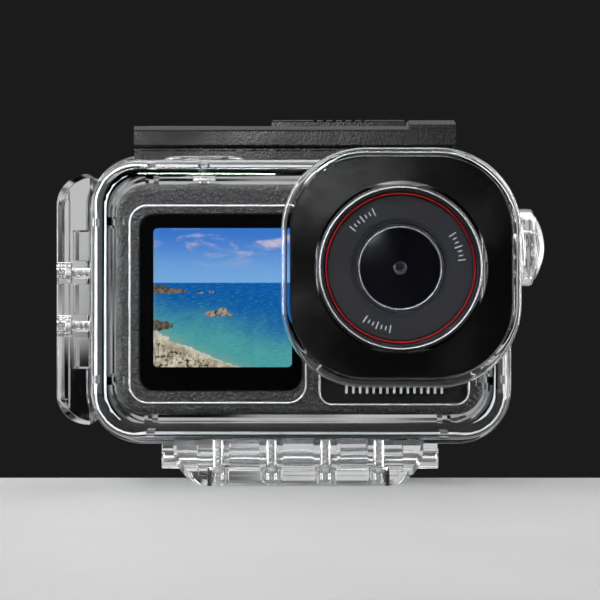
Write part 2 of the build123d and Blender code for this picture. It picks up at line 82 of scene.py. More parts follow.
def ramp(tree, value, low, high):
    span = {"Value": value, "From Min": low, "From Max": high}
    return add(tree, "MapRange", span, interpolation_type="SMOOTHSTEP").outputs[0]


def noise(tree, place, scale, detail, **more):
    return add(tree, "TexNoise", {"Vector": place, "Scale": scale, "Detail": detail, **more}).outputs[0]


def places(tree):
    return add(tree, "TexCoord").outputs["Object"]


# camera and lights: the lens looks level along +Y at the height of the case's middle
view = {"distance": 414 * mm, "height": 35.4 * mm, "lens": 126.7}
lamps = {  # place (mm), size (mm), power (W), colour
    "topSoftbox": ((-60, 60, 330), (420, 200), 0.8, (1.0, 0.99, 0.97)),
    "leftStrip": ((-330, 0, 90), (90, 420), 1.8, (0.97, 0.99, 1.0)),
    "rightStrip": ((330, 40, 90), (70, 420), 1.2, (1.0, 0.99, 0.98)),
    "frontFill": ((-260, -300, 330), (200, 160), 0.5, (1.0, 1.0, 1.0)),
    "edgeStrip": ((0, -230, 300), (560, 12), 0.6, (1.0, 1.0, 1.0)),
    "portSheen": ((-62, -1000, 195), (90, 50), 2.0, (1.0, 1.0, 1.0)),
}
studio = {"backdrop": 0.011, "dim": 0.004, "sides": 1.7, "overhead": 0.50, "below": 0.12, "ahead": 0.55}
floor = {"halfWide": 260, "frontY": -230, "edgeY": 7.6, "backY": 260, "drop": 26, "crest": 1.2, "cove": 8,
         "shade": (0.21, 0.21, 0.21, 1), "light": (0.24, 0.24, 0.238, 1)}


def aimed(thing, target):
    direction = target - np.array(thing.location)
    thing.rotation_euler = Vector(direction).to_track_quat("-Z", "Y").to_euler()


def placeCamera():
    camera = bpy.data.objects.new("studioCamera", bpy.data.cameras.new("studioCamera"))
    bpy.context.scene.collection.objects.link(camera)
    camera.location = (0, -view["distance"], view["height"])
    camera.rotation_euler = (math.radians(90), 0, 0)
    camera.data.lens = view["lens"]
    camera.data.clip_start = 0.01
    bpy.context.scene.camera = camera


def placeLamps():
    target = np.array([0, 0, view["height"]])
    for name, (place, size, power, colour) in lamps.items():
        lamp = bpy.data.objects.new(name, bpy.data.lights.new(name, "AREA"))
        bpy.context.scene.collection.objects.link(lamp)
        lamp.data.shape = "RECTANGLE"
        lamp.data.size, lamp.data.size_y = size[0] * mm, size[1] * mm
        lamp.data.energy, lamp.data.color = power, colour
        lamp.location = [value * mm for value in place]
        aimed(lamp, target)
        lamp.visible_camera = False


def makeStudio():
    # dark behind the camera, pale screens at the sides, overhead and low down; the plain backdrop looks
    # dark, and a pale streaked field ahead is seen only through the clear plastic
    room = bpy.data.worlds.new("studioRoom")
    room.use_nodes = True
    tree = room.node_tree
    across, along, up = add(tree, "SeparateXYZ", {0: add(tree, "TexCoord").outputs["Generated"]}).outputs
    wide = sums(tree, "ABSOLUTE", across)
    sides = sums(tree, "MULTIPLY", ramp(tree, wide, 0.34, 0.60), ramp(tree, up, -0.45, 0.05))
    light = sums(tree, "MULTIPLY_ADD", sides, studio["sides"], studio["dim"])
    light = sums(tree, "MULTIPLY_ADD", ramp(tree, up, 0.40, 0.72), studio["overhead"], light)
    light = sums(tree, "MULTIPLY_ADD", ramp(tree, up, -0.25, -0.60), studio["below"], light)
    streaks = noise(tree, add(tree, "TexCoord").outputs["Generated"], 10.0, 1.0)
    field = sums(tree, "MULTIPLY", ramp(tree, along, 0.15, 0.75), ramp(tree, streaks, 0.38, 0.60))
    light = sums(tree, "MULTIPLY_ADD", field, studio["ahead"], light)
    seen = add(tree, "LightPath").outputs["Is Camera Ray"]
    level = add(tree, "Mix", {0: seen, 2: light, 3: studio["backdrop"]}, data_type="FLOAT").outputs[0]
    back = tree.nodes["Background"]
    tree.links.new(add(tree, "CombineColor", {0: level, 1: level, 2: level}).outputs[0], back.inputs["Color"])
    bpy.context.scene.world = room


placeCamera()
placeLamps()
makeStudio()
bounces = {"max_bounces": 28, "transmission_bounces": 26, "transparent_max_bounces": 32, "glossy_bounces": 8}
for limit, count in bounces.items():
    setattr(bpy.context.scene.cycles, limit, count)
bpy.context.scene.view_settings.view_transform = "Standard"
print("stage: camera and lamps placed")


def newGroup(name, inputs, outputs):
    group = bpy.data.node_groups.new(name, "ShaderNodeTree")
    for label, kind, value in inputs:
        socket = group.interface.new_socket(label, in_out="INPUT", socket_type="NodeSocket" + kind)
        if value is not None:
            socket.default_value = value
    for label, kind in outputs:
        group.interface.new_socket(label, in_out="OUTPUT", socket_type="NodeSocket" + kind)
    return group, group.nodes.new("NodeGroupInput").outputs, group.nodes.new("NodeGroupOutput").inputs


def makeGrainGroup():  # pebbled moulding grain: rounded cells with fine noise, as a height and a tone
    group, given, out = newGroup(
        "mouldedGrain",
        [("Place", "Vector", None), ("Cells", "Float", 1500.0), ("Fine", "Float", 6000.0)],
        [("Height", "Float"), ("PitShadeTone", "Float")],
    )
    cell = add(group, "TexVoronoi", {"Vector": given["Place"], "Scale": given["Cells"]}, feature="SMOOTH_F1")
    fine = noise(group, given["Place"], given["Fine"], 3.0)
    height = sums(group, "SUBTRACT", sums(group, "MULTIPLY", fine, 0.35), cell.outputs["Distance"])
    group.links.new(height, out["Height"])
    # the tone follows the height: darker in the pits between the pebbles and paler on their tops, painted
    # shade and painted highlight laid over the real grain
    group.links.new(ramp(group, height, -0.42, 0.05), out["PitShadeTone"])
    return group


def makeMarksGroup():  # handling marks: broad smudges and thin hair scratches, as a roughness mask
    group, given, out = newGroup(
        "handlingMarks",
        [("Place", "Vector", None), ("Broad", "Float", 60.0), ("Scratches", "Float", 0.5)],
        [("Mask", "Float"), ("Lines", "Float")],
    )
    broad = noise(group, given["Place"], given["Broad"], 5.0)
    slant = {"Vector": given["Place"], "Rotation": (0.2, 0.7, 0.3), "Scale": (40, 900, 2600)}
    line = noise(group, add(group, "Mapping", slant).outputs[0], 1.0, 1.0)
    thin = ramp(group, line, 0.70, 0.78)
    scratch = sums(group, "MULTIPLY", thin, given["Scratches"])
    group.links.new(ramp(group, broad, 0.35, 0.8), out["Mask"])
    group.links.new(scratch, out["Lines"])
    return group


def makeDustGroup():  # sparse specks that settle on faces that look up
    group, given, out = newGroup(
        "settledDust",
        [("Place", "Vector", None), ("Specks", "Float", 2200.0), ("Amount", "Float", 0.3)],
        [("Mask", "Float")],
    )
    speck = add(group, "TexVoronoi", {"Vector": given["Place"], "Scale": given["Specks"]})
    small = ramp(group, speck.outputs["Distance"], 0.16, 0.05)
    facing = add(group, "SeparateXYZ", {0: add(group, "NewGeometry").outputs["Normal"]}).outputs[2]
    up = ramp(group, facing, 0.1, 0.9)
    group.links.new(sums(group, "MULTIPLY", sums(group, "MULTIPLY", small, up), given["Amount"]), out["Mask"])
    return group


grainGroup, marksGroup, dustGroup = makeGrainGroup(), makeMarksGroup(), makeDustGroup()


def useGroup(tree, group, **inputs):
    made = tree.nodes.new("ShaderNodeGroup")
    made.node_tree = group
    tree.links.new(places(tree), made.inputs["Place"])
    for key, value in inputs.items():
        made.inputs[key].default_value = value
    return made.outputs


def newMaterial(name, **sockets):
    material = bpy.data.materials.new(name)
    material.use_nodes = True
    tree = material.node_tree
    shader = tree.nodes["Principled BSDF"]
    for label, value in sockets.items():
        isColour = isinstance(value, tuple) and len(value) == 3
        shader.inputs[label.replace("_", " ")].default_value = (*value, 1) if isColour else value
    return material, tree, shader


def bumped(tree, shader, height, strength, distance):
    bump = add(tree, "Bump", {"Height": height, "Strength": strength, "Distance": distance})
    tree.links.new(bump.outputs[0], shader.inputs["Normal"])


def grainMaterial(name, dark, pale, rough, cells, fine, depth, strength, dust=0.25, **sockets):
    material, tree, shader = newMaterial(name, **sockets)
    grain = useGroup(tree, grainGroup, Cells=cells, Fine=fine)
    marks = useGroup(tree, marksGroup)
    specks = useGroup(tree, dustGroup, Amount=dust)
    # the grain's tone is painted shade in the pits and a painted highlight on the pebble tops, mixed between
    # the dark and pale colours
    tone = mixColours(tree, grain["PitShadeTone"], (*dark, 1), (*pale, 1))
    dusty = mixColours(tree, specks["Mask"], tone, (0.35, 0.34, 0.32, 1))
    tree.links.new(dusty, shader.inputs["Base Color"])
    spread = sums(tree, "MULTIPLY_ADD", marks["Mask"], 0.16, rough)
    tree.links.new(sums(tree, "ADD", spread, marks["Lines"]), shader.inputs["Roughness"])
    bumped(tree, shader, grain["Height"], strength, depth)
    return material


def clearMaterial(name, tint, rough, ior, marksAmount, dust):
    # polished clear plastic: light for what lies inside passes straight through it
    material, tree, shader = newMaterial(name, Base_Color=tint, IOR=ior, Transmission_Weight=1.0)
    marks = useGroup(tree, marksGroup, Scratches=marksAmount)
    specks = useGroup(tree, dustGroup, Amount=dust)
    worn = sums(tree, "MULTIPLY_ADD", marks["Mask"], rough, rough * 0.5)
    whole = sums(tree, "ADD", sums(tree, "ADD", worn, marks["Lines"]), specks["Mask"])
    tree.links.new(whole, shader.inputs["Roughness"])
    through = add(tree, "BsdfTransparent", {0: (*[0.97 * c for c in tint], 1)})
    shadow = add(tree, "LightPath").outputs["Is Shadow Ray"]
    blend = add(tree, "MixShader", {0: shadow, 1: shader.outputs[0], 2: through.outputs[0]})
    tree.links.new(blend.outputs[0], tree.nodes["Material Output"].inputs["Surface"])
    return material


def turnedMetal(name, colour, rough, rings, strength):
    # lathe-turned finish: fine rings about the lens axis
    material, tree, shader = newMaterial(name, Metallic=1.0)
    low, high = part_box("lens_barrel_ring")
    middle = [-(low[i] + high[i]) / 2 for i in range(3)]
    centred = add(tree, "Mapping", {"Vector": places(tree), "Location": tuple(middle), "Scale": (1, 0, 1)})
    radius = add(tree, "VectorMath", {0: centred.outputs[0]}, operation="LENGTH").outputs["Value"]
    wave = sums(tree, "SINE", sums(tree, "MULTIPLY", radius, rings))
    marks = useGroup(tree, marksGroup)
    tone = mixColours(tree, marks["Mask"], (*colour, 1), (*[c * 0.8 for c in colour], 1))
    tree.links.new(tone, shader.inputs["Base Color"])
    tree.links.new(sums(tree, "MULTIPLY_ADD", marks["Mask"], 0.12, rough), shader.inputs["Roughness"])
    bumped(tree, shader, wave, strength, 0.00002)
    return material


coast = {
    "skyLow": (0.22, 0.48, 0.88, 1), "skyHigh": (0.05, 0.22, 0.70, 1), "cloud": (0.72, 0.63, 0.76, 1),
    "seaNear": (0.09, 0.42, 0.42, 1), "seaDeep": (0.003, 0.13, 0.44, 1), "seaFar": (0.002, 0.125, 0.48, 1),
    "glint": (0.22, 0.50, 0.58, 1), "trough": (0.004, 0.07, 0.20, 1), "shallow": (0.24, 0.42, 0.34, 1),
    "foam": (0.72, 0.72, 0.68, 1), "sandDark": (0.34, 0.28, 0.19, 1), "sandPale": (0.86, 0.77, 0.62, 1),
    "bush": (0.020, 0.030, 0.010, 1), "rockDark": (0.035, 0.028, 0.018, 1), "rockPale": (0.52, 0.43, 0.33),
    # rocks and a far headland: middle across and up, half width and half height, and how pale
    "rocks": ((0.42, 0.385, 0.055, 0.026, 0.9), (0.50, 0.398, 0.040, 0.036, 1.0),
              (0.545, 0.380, 0.030, 0.016, 0.8), (0.34, 0.535, 0.030, 0.010, 0.7),
              (0.42, 0.540, 0.022, 0.012, 0.8), (0.10, 0.548, 0.17, 0.022, 0.45),
              (0.02, 0.575, 0.10, 0.018, 0.3), (0.03, 0.30, 0.12, 0.040, 0.35)),
}


def seascape(tree, node):
    # a made-up coast: sky over sea over a curved beach, laid out on the panel's own width and height
    low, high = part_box(node)
    wide, tall = high.x - low.x, high.z - low.z
    start, way = (high.x, -1) if node == "rear_display" else (low.x, 1)  # left to right as each is looked at
    laid = add(tree, "Mapping", {"Vector": places(tree), "Location": (-way * start / wide, 0, -low.z / tall),
                                 "Scale": (way / wide, 0, 1 / tall)}).outputs[0]
    u, _, v = add(tree, "SeparateXYZ", {0: laid}).outputs
    stretched = add(tree, "Mapping", {"Vector": laid, "Scale": (2.2, 1, 7.0)}).outputs[0]
    cloudNoise = noise(tree, stretched, 1.1, 12.0, Roughness=0.62, Distortion=0.4)
    sky = mixColours(tree, ramp(tree, v, 0.60, 1.0), coast["skyLow"], coast["skyHigh"])
    cloud = sums(tree, "MULTIPLY", ramp(tree, cloudNoise, 0.47, 0.66), ramp(tree, v, 0.68, 0.90))
    sky = mixColours(tree, cloud, sky, coast["cloud"])
    rippled = add(tree, "Mapping", {"Vector": laid, "Scale": (22, 1, 130)}).outputs[0]
    wave = noise(tree, rippled, 1.0, 8.0, Roughness=0.7)
    drift = noise(tree, laid, 5.0, 9.0, Roughness=0.65, Distortion=0.8)
    outward = sums(tree, "MULTIPLY_ADD", u, 0.16, sums(tree, "ADD", v, -0.26))
    depth = sums(tree, "MULTIPLY_ADD", drift, 0.36, outward)
    sea = mixColours(tree, ramp(tree, depth, 0.12, 0.50), coast["seaNear"], coast["seaDeep"])
    sea = mixColours(tree, ramp(tree, v, 0.46, 0.62), sea, coast["seaFar"])
    sea = mixColours(tree, sums(tree, "MULTIPLY", ramp(tree, wave, 0.50, 0.72), 0.45), sea, coast["glint"])
    sea = mixColours(tree, sums(tree, "MULTIPLY", ramp(tree, wave, 0.50, 0.30), 0.5), sea, coast["trough"])
    picture = mixColours(tree, ramp(tree, v, 0.603, 0.611), sea, sky)
    ragged = noise(tree, laid, 12.0, 10.0, Roughness=0.7)
    drop = sums(tree, "MAXIMUM", sums(tree, "MULTIPLY_ADD", v, -2.5, 0.95), 0.0)
    shore = sums(tree, "MULTIPLY_ADD", sums(tree, "POWER", drop, 1.5), 0.82, -0.26)
    shore = sums(tree, "MULTIPLY_ADD", ragged, 0.26, shore)
    inland = sums(tree, "SUBTRACT", shore, u)
    shallow = sums(tree, "MULTIPLY", ramp(tree, inland, -0.20, 0.0), 0.6)
    picture = mixColours(tree, shallow, picture, coast["shallow"])
    nearShore = ramp(tree, sums(tree, "ABSOLUTE", inland), 0.022, 0.002)
    foam = sums(tree, "MULTIPLY", nearShore, ramp(tree, drift, 0.4, 0.6))
    picture = mixColours(tree, foam, picture, coast["foam"])
    sand = mixColours(tree, ramp(tree, ragged, 0.35, 0.65), coast["sandDark"], coast["sandPale"])
    picture = mixColours(tree, ramp(tree, inland, 0.004, 0.016), picture, sand)
    bushNoise = noise(tree, laid, 34.0, 8.0, Roughness=0.7)
    bush = sums(tree, "MULTIPLY", ramp(tree, inland, 0.06, 0.16), ramp(tree, bushNoise, 0.50, 0.58))
    picture = mixColours(tree, bush, picture, coast["bush"])
    for across, up, broad, deep, pale in coast["rocks"]:
        offset = add(tree, "CombineXYZ", {0: sums(tree, "DIVIDE", sums(tree, "SUBTRACT", u, across), broad),
                                          1: sums(tree, "DIVIDE", sums(tree, "SUBTRACT", v, up), deep)})
        away = add(tree, "VectorMath", {0: offset.outputs[0]}, operation="LENGTH").outputs["Value"]
        away = sums(tree, "MULTIPLY_ADD", bushNoise, 1.6, away)
        lit = (*[value * pale for value in coast["rockPale"]], 1)
        rock = mixColours(tree, ramp(tree, bushNoise, 0.38, 0.58), coast["rockDark"], lit)
        picture = mixColours(tree, ramp(tree, away, 1.75, 1.65), picture, rock)
    return picture


def pictureMaterial(name, node, brightness):
    material, tree, shader = newMaterial(name, Roughness=0.3, Emission_Strength=brightness,
                                         Specular_IOR_Level=0.0)
    picture = seascape(tree, node)
    tree.links.new(mixColours(tree, 0.97, picture, (0, 0, 0, 1)), shader.inputs["Base Color"])
    tree.links.new(picture, shader.inputs["Emission Color"])
    return material


def glossMaterial(name, dark, pale, rough, coat=0.0, broad=60.0, **sockets):
    material, tree, shader = newMaterial(name, Coat_Weight=coat, Coat_Roughness=0.03, **sockets)
    marks = useGroup(tree, marksGroup, Broad=broad)
    tree.links.new(mixColours(tree, marks["Mask"], (*dark, 1), (*pale, 1)), shader.inputs["Base Color"])
    tree.links.new(sums(tree, "MULTIPLY_ADD", marks["Mask"], 0.08, rough), shader.inputs["Roughness"])
    return material


def metalMaterial(name, colour, rough, grain):
    material, tree, shader = newMaterial(name, Metallic=1.0)
    brushed = add(tree, "Mapping", {"Vector": places(tree), "Scale": grain})
    line = noise(tree, brushed.outputs[0], 1.0, 3.0)
    tone = mixColours(tree, line, (*[0.75 * c for c in colour], 1), (*colour, 1))
    tree.links.new(tone, shader.inputs["Base Color"])
    tree.links.new(sums(tree, "MULTIPLY_ADD", line, 0.18, rough), shader.inputs["Roughness"])
    bumped(tree, shader, line, 0.15, 0.00003)
    return material


finishes = {
    "clearShell": clearMaterial("clearShell", (0.985, 0.993, 1.0), 0.012, 1.56, 0.05, 0.10),
    "clearButton": clearMaterial("clearButton", (0.96, 0.97, 0.98), 0.05, 1.50, 0.08, 0.10),
    "portGlass": clearMaterial("portGlass", (0.99, 0.995, 1.0), 0.006, 1.45, 0.02, 0.03),
    "screenGlass": clearMaterial("screenGlass", (0.97, 0.98, 0.98), 0.01, 1.45, 0.02, 0.02),
    "coatedLens": clearMaterial("coatedLens", (0.93, 0.94, 0.98), 0.004, 1.25, 0.0, 0.0),
    # the two lens elements are opaque near-black in place of clear glass: painted shade for the dark inside
    # of the lens
    "lensPaintedShade": glossMaterial("lensPaintedShade", (0.0015, 0.0015, 0.002), (0.002, 0.002, 0.003), 0.04),
    "centrePaintedShade": glossMaterial("centrePaintedShade", (0.006, 0.006, 0.010), (0.010, 0.009, 0.014), 0.02, 1.0),
    "printGrey": glossMaterial("printGrey", (0.42, 0.42, 0.42), (0.50, 0.50, 0.50), 0.45, broad=400.0),
    "printBlack": glossMaterial("printBlack", (0.0008, 0.0008, 0.0008), (0.0012, 0.0012, 0.0012), 0.5,
                                broad=300.0, Specular_IOR_Level=0.0),
    "polishedLine": metalMaterial("polishedLine", (0.80, 0.80, 0.81), 0.12, (900, 4000, 900)),
    "maskBlack": glossMaterial("maskBlack", (0.0015, 0.0015, 0.0015), (0.002, 0.002, 0.002), 0.10),
    "trimBlack": glossMaterial("trimBlack", (0.002, 0.002, 0.002), (0.004, 0.004, 0.004), 0.10, 0.4),
    "sensorGlass": glossMaterial("sensorGlass", (0.03, 0.02, 0.06), (0.02, 0.05, 0.07), 0.08, 1.0),
    "cellWrap": glossMaterial("cellWrap", (0.03, 0.03, 0.033), (0.05, 0.05, 0.055), 0.35),
    "bodyGrain": grainMaterial("bodyGrain", (0.0015, 0.0015, 0.0015), (0.022, 0.022, 0.022), 0.33, 1900, 5200,
                               0.00035, 1.0, dust=0.1),
    "latchGrain": grainMaterial("latchGrain", (0.002, 0.002, 0.002), (0.006, 0.006, 0.006), 0.22, 2600, 7000,
                                0.00004, 0.4, dust=0.05, Specular_IOR_Level=0.16),
    "softBlack": grainMaterial("softBlack", (0.012, 0.012, 0.012), (0.03, 0.03, 0.03), 0.6, 3000, 8000,
                               0.00003, 0.3),
    "paleSilicone": grainMaterial("paleSilicone", (0.60, 0.62, 0.63), (0.70, 0.72, 0.73), 0.42, 1800, 7000,
                                  0.00002, 0.2, dust=0.1, Subsurface_Weight=0.25, Subsurface_Scale=0.002),
    "boardGreen": grainMaterial("boardGreen", (0.008, 0.06, 0.03), (0.012, 0.10, 0.045), 0.35, 900, 9000,
                                0.00002, 0.2, dust=0.0),
    "labelSatin": grainMaterial("labelSatin", (0.009, 0.009, 0.009), (0.015, 0.014, 0.015), 0.42, 6000, 12000,
                                0.00001, 0.2, dust=0.0, Specular_IOR_Level=0.12),
    "steel": metalMaterial("steel", (0.66, 0.65, 0.64), 0.20, (300, 4000, 4000)),
    "heatSheet": metalMaterial("heatSheet", (0.75, 0.75, 0.76), 0.30, (300, 200, 6000)),
    "turnedBlack": turnedMetal("turnedBlack", (0.035, 0.035, 0.037), 0.30, 60000, 0.35),
    "turnedBright": turnedMetal("turnedBright", (0.55, 0.56, 0.58), 0.20, 60000, 0.2),
    "accentRed": turnedMetal("accentRed", (0.20, 0.008, 0.008), 0.30, 50000, 0.2),
    "frontPicture": pictureMaterial("frontPicture", "front_display", 0.9),
    "rearPicture": pictureMaterial("rearPicture", "rear_display", 1.0),
}
print("stage:", len(finishes), "finishes made")


def cornerNormals(mesh, angle):
    # at each corner the normal is the sum of the nearby faces' own normals, each weighted by its area, over
    # those faces at the same vertex that turn from this face by less than the angle; flat walls stay flat
    corners = len(mesh.loops)
    vertexOf = np.empty(corners, np.int32)
    mesh.loops.foreach_get("vertex_index", vertexOf)
    start, count = np.empty(len(mesh.polygons), np.int32), np.empty(len(mesh.polygons), np.int32)
    mesh.polygons.foreach_get("loop_start", start)
    mesh.polygons.foreach_get("loop_total", count)
    faceOf = np.repeat(np.arange(len(count)), count)
    area, facing = np.empty(len(count)), np.empty(len(count) * 3)
    mesh.polygons.foreach_get("area", area)
    mesh.polygons.foreach_get("normal", facing)
    facing = facing.reshape(-1, 3)
    order = np.argsort(vertexOf, kind="stable")
    met = np.bincount(vertexOf, minlength=len(mesh.vertices))
    first = np.concatenate([[0], np.cumsum(met)[:-1]])
    total = np.zeros((corners, 3))
    for step in range(int(met.max())):  # the step-th face round each vertex, for all corners at once
        has = np.flatnonzero(met[vertexOf] > step)
        other = faceOf[order[first[vertexOf[has]] + step]]
        own = faceOf[has]
        near = (facing[own] * facing[other]).sum(1) > math.cos(math.radians(angle))
        total[has] += facing[other] * (area[other] * near)[:, None]
    length = np.linalg.norm(total, axis=1, keepdims=True)
    total = np.where(length > 1e-20, total / np.maximum(length, 1e-20), facing[faceOf])
    mesh.polygons.foreach_set("use_smooth", np.ones(len(count), bool))
    mesh.normals_split_custom_set(total.tolist())


def newPiece(name, mesh, finish, body, *stoodFor):
    mesh.materials.clear()
    mesh.materials.append(finishes[finish])
    piece = bpy.data.objects.new(name, mesh)
    bpy.context.scene.collection.objects.link(piece)
    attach(piece, body)
    if stoodFor:
        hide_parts(*stoodFor)
    return piece


def smoothCopy(node, finish, angle=32, edge=0.0):
    # the node's own shape with its loose triangles joined, so that round faces shade as round
    work = bmesh.new()
    work.from_mesh(frame["nodes"][node].data)
    for layer in list(work.loops.layers.float_vector):
        work.loops.layers.float_vector.remove(layer)
    bmesh.ops.remove_doubles(work, verts=work.verts, dist=2e-6)
    bmesh.ops.dissolve_degenerate(work, edges=work.edges, dist=1e-7)
    if edge:  # a small round on the node's crisp edges
        flat, sharp = math.radians(0.3), math.radians(40)
        bmesh.ops.dissolve_limit(work, angle_limit=flat, verts=work.verts, edges=work.edges)
        crisp = [e for e in work.edges if len(e.link_faces) == 2 and e.calc_face_angle() > sharp]
        bmesh.ops.bevel(work, geom=crisp, offset=edge * mm, segments=2, profile=0.5, affect="EDGES",
                        clamp_overlap=True)
        bmesh.ops.triangulate(work, faces=work.faces)
    mesh = bpy.data.meshes.new(node + "Look")
    work.to_mesh(mesh)
    work.free()
    cornerNormals(mesh, angle)
    return newPiece(node + "Look", mesh, finish, bodyOf[node], node)


def meshFromGrid(name, points, wrapRows, wrapCols, angle=32):
    # rows x columns of points joined by four-sided faces; a wrapped direction joins its last line
    # to its first
    rows, cols = points.shape[:2]
    row = np.arange(rows if wrapRows else rows - 1)
    col = np.arange(cols if wrapCols else cols - 1)
    i, j = np.meshgrid(row, col, indexing="ij")
    nextRow, nextCol = (i + 1) % rows, (j + 1) % cols
    quads = np.stack([i * cols + j, nextRow * cols + j, nextRow * cols + nextCol, i * cols + nextCol], -1)
    mesh = bpy.data.meshes.new(name)
    mesh.from_pydata(points.reshape(-1, 3) * mm, [], quads.reshape(-1, 4))
    work = bmesh.new()
    work.from_mesh(mesh)
    bmesh.ops.remove_doubles(work, verts=work.verts, dist=1e-7)
    bmesh.ops.dissolve_degenerate(work, edges=work.edges, dist=1e-8)
    bmesh.ops.recalc_face_normals(work, faces=work.faces)
    work.to_mesh(mesh)
    work.free()
    cornerNormals(mesh, angle)
    return mesh


def boxMm(node):
    low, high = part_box(node)
    return np.array(low) / mm, np.array(high) / mm


barrelLow, barrelHigh = boxMm("lens_barrel_ring")
lensX, lensZ = (barrelLow[0] + barrelHigh[0]) / 2, (barrelLow[2] + barrelHigh[2]) / 2


def turned(profile, steps=192, ripple=None):
    # (radius, y) points turned about the lens axis: x = cx + r cos a, z = cz + r sin a; the ripple adds to
    # the outermost r by angle
    angle = np.linspace(0, 2 * np.pi, steps, endpoint=False)[:, None]
    radius, depth = np.array(profile, float).T
    outermost = (radius > radius.max() - 0.02)[None, :]
    radius = radius[None, :] + (0 if ripple is None else ripple(angle) * outermost)
    depth = np.broadcast_to(depth, (steps, len(depth)))
    return np.stack([lensX + radius * np.cos(angle), depth, lensZ + radius * np.sin(angle)], -1)


def rounded(points, radius, steps=5):
    # closed outline whose every corner is a quarter-like arc: each is a quadratic curve between two
    # cut-back points
    points = np.array(points, float)
    before, after = np.roll(points, 1, 0) - points, np.roll(points, -1, 0) - points
    lengthBefore = np.linalg.norm(before, axis=1, keepdims=True)
    lengthAfter = np.linalg.norm(after, axis=1, keepdims=True)
    reach = np.minimum(radius, 0.45 * np.minimum(lengthBefore, lengthAfter)[:, 0])
    enter = points + before / lengthBefore * reach[:, None]
    leave = points + after / lengthAfter * reach[:, None]
    t = np.linspace(0, 1, steps)[None, :, None]
    curve = (1 - t) ** 2 * enter[:, None] + 2 * t * (1 - t) * points[:, None] + t ** 2 * leave[:, None]
    return curve.reshape(-1, 2)


def lensRing(name, outline, corner, finish, stoodFor=(), steps=256, ripple=None):
    mesh = meshFromGrid(name, turned(rounded(outline, corner), steps, ripple), True, True)
    newPiece(name, mesh, finish, "case", *stoodFor)


def makeLensRings():
    ring = {"knurls": 96, "knurlDepth": 0.05, "edge": 0.22, "inner": 15.05, "shelf": 14.3, "tube": 8.6,
            "bright": (14.95, 15.25), "red": (13.78, 14.15), "label": (8.5, 13.6), "well": (7.62, 7.86),
            "softEdge": 0.1, "labelEdge": 0.12}
    front, rear = barrelLow[1], barrelHigh[1]
    outer = (barrelHigh[0] - barrelLow[0]) / 2 - ring["knurlDepth"]
    body = [(outer, rear - 0.9), (outer, front + 0.45), (outer - 0.45, front), (ring["inner"], front),
            (ring["inner"], rear - 3.3), (ring["shelf"], rear - 3.3), (ring["shelf"], rear - 2.7),
            (ring["tube"], rear - 0.9)]

    def knurl(angle):
        return ring["knurlDepth"] * np.cos(ring["knurls"] * angle)

    lensRing("lensBarrel", body, ring["edge"], "turnedBlack", ["lens_barrel_ring"], 576, knurl)
    small, large = ring["bright"]
    bright = [(large, front - 0.02), (small, front - 0.02), (small, front + 0.5), (large, front + 0.5)]
    lensRing("lensBrightRing", bright, ring["softEdge"], "turnedBright")
    low, high = boxMm("lens_accent_ring")
    small, large = ring["red"]
    red = [(small, low[1]), (large, low[1]), (large, high[1]), (small, high[1])]
    lensRing("lensRedRing", red, ring["softEdge"], "accentRed", ["lens_accent_ring"])
    low, high = boxMm("lens_label_ring")
    small, large = ring["label"]
    label = [(small, low[1] + 0.35), (9.4, low[1] + 0.1), (13.55, low[1] + 0.05), (large, high[1] - 0.9),
             (small, high[1])]
    lensRing("lensLabelRing", label, ring["labelEdge"], "labelSatin", ["lens_label_ring"])
    small, large = ring["well"]
    well = [(small, low[1] + 0.5), (large, low[1] + 0.5), (large, high[1] - 0.5), (small, high[1] - 0.5)]
    lensRing("lensWellRing", well, ring["softEdge"], "turnedBright", steps=192)


def makeLensGlass():
    # two shallow bowls standing for the lens glass, drawn opaque and near-black as painted shade for the dark
    # inside of the lens: y grows with the square of the radius; the little one stands at the middle
    bowls = {  # node, finish, radius, rows, front set-back, curve, y of the flat back, steps round
        "frontElement": ("front_lens", "lensPaintedShade", 7.5, 40, 0.35, 0.004, ("high", -0.3), 128),
        "centreElement": ("inner_lens", "centrePaintedShade", 2.15, 24, 0.1, 0.16, ("low", 1.1), 96),
    }
    low, high = boxMm("front_lens")
    ends = {"low": low[1], "high": high[1]}
    for name, (node, finish, size, rows, setBack, curve, (end, more), steps) in bowls.items():
        radius = np.linspace(0, size, rows)
        face = np.stack([radius, low[1] + setBack + curve * radius ** 2], 1)
        dome = np.vstack([face, [(size, ends[end] + more)], [(0.0, ends[end] + more)]])
        newPiece(name, meshFromGrid(name, turned(dome, steps), True, False), finish, "case", node)


def softBoxes(name, middles, sizes, finish, body, turns=None):
    # many small pads in one mesh: each is a unit block scaled, turned about Y and moved to its place
    unit = np.array([(x, y, z) for x in (-0.5, 0.5) for y in (-0.5, 0.5) for z in (-0.5, 0.5)])
    block = unit[None] * np.array(sizes, float)[:, None]
    turn = np.zeros(len(middles)) if turns is None else np.asarray(turns, float)
    c, t = np.cos(turn)[:, None], np.sin(turn)[:, None]
    x, z = block[..., 0] * c + block[..., 2] * t, -block[..., 0] * t + block[..., 2] * c
    points = np.stack([x, block[..., 1], z], -1) + np.array(middles, float)[:, None]
    sides = np.array([(0, 1, 3, 2), (4, 6, 7, 5), (0, 4, 5, 1), (2, 3, 7, 6), (0, 2, 6, 4), (1, 5, 7, 3)])
    quads = (sides[None] + 8 * np.arange(len(middles))[:, None, None]).reshape(-1, 4)
    mesh = bpy.data.meshes.new(name)
    mesh.from_pydata(points.reshape(-1, 3) * mm, [], quads)
    work = bmesh.new()
    work.from_mesh(mesh)
    bmesh.ops.bevel(work, geom=work.edges[:], offset=0.05 * mm, segments=2, profile=0.5, affect="EDGES",
                    clamp_overlap=True)
    bmesh.ops.recalc_face_normals(work, faces=work.faces)
    work.to_mesh(mesh)
    work.free()
    cornerNormals(mesh, 50)
    return newPiece(name, mesh, finish, body)


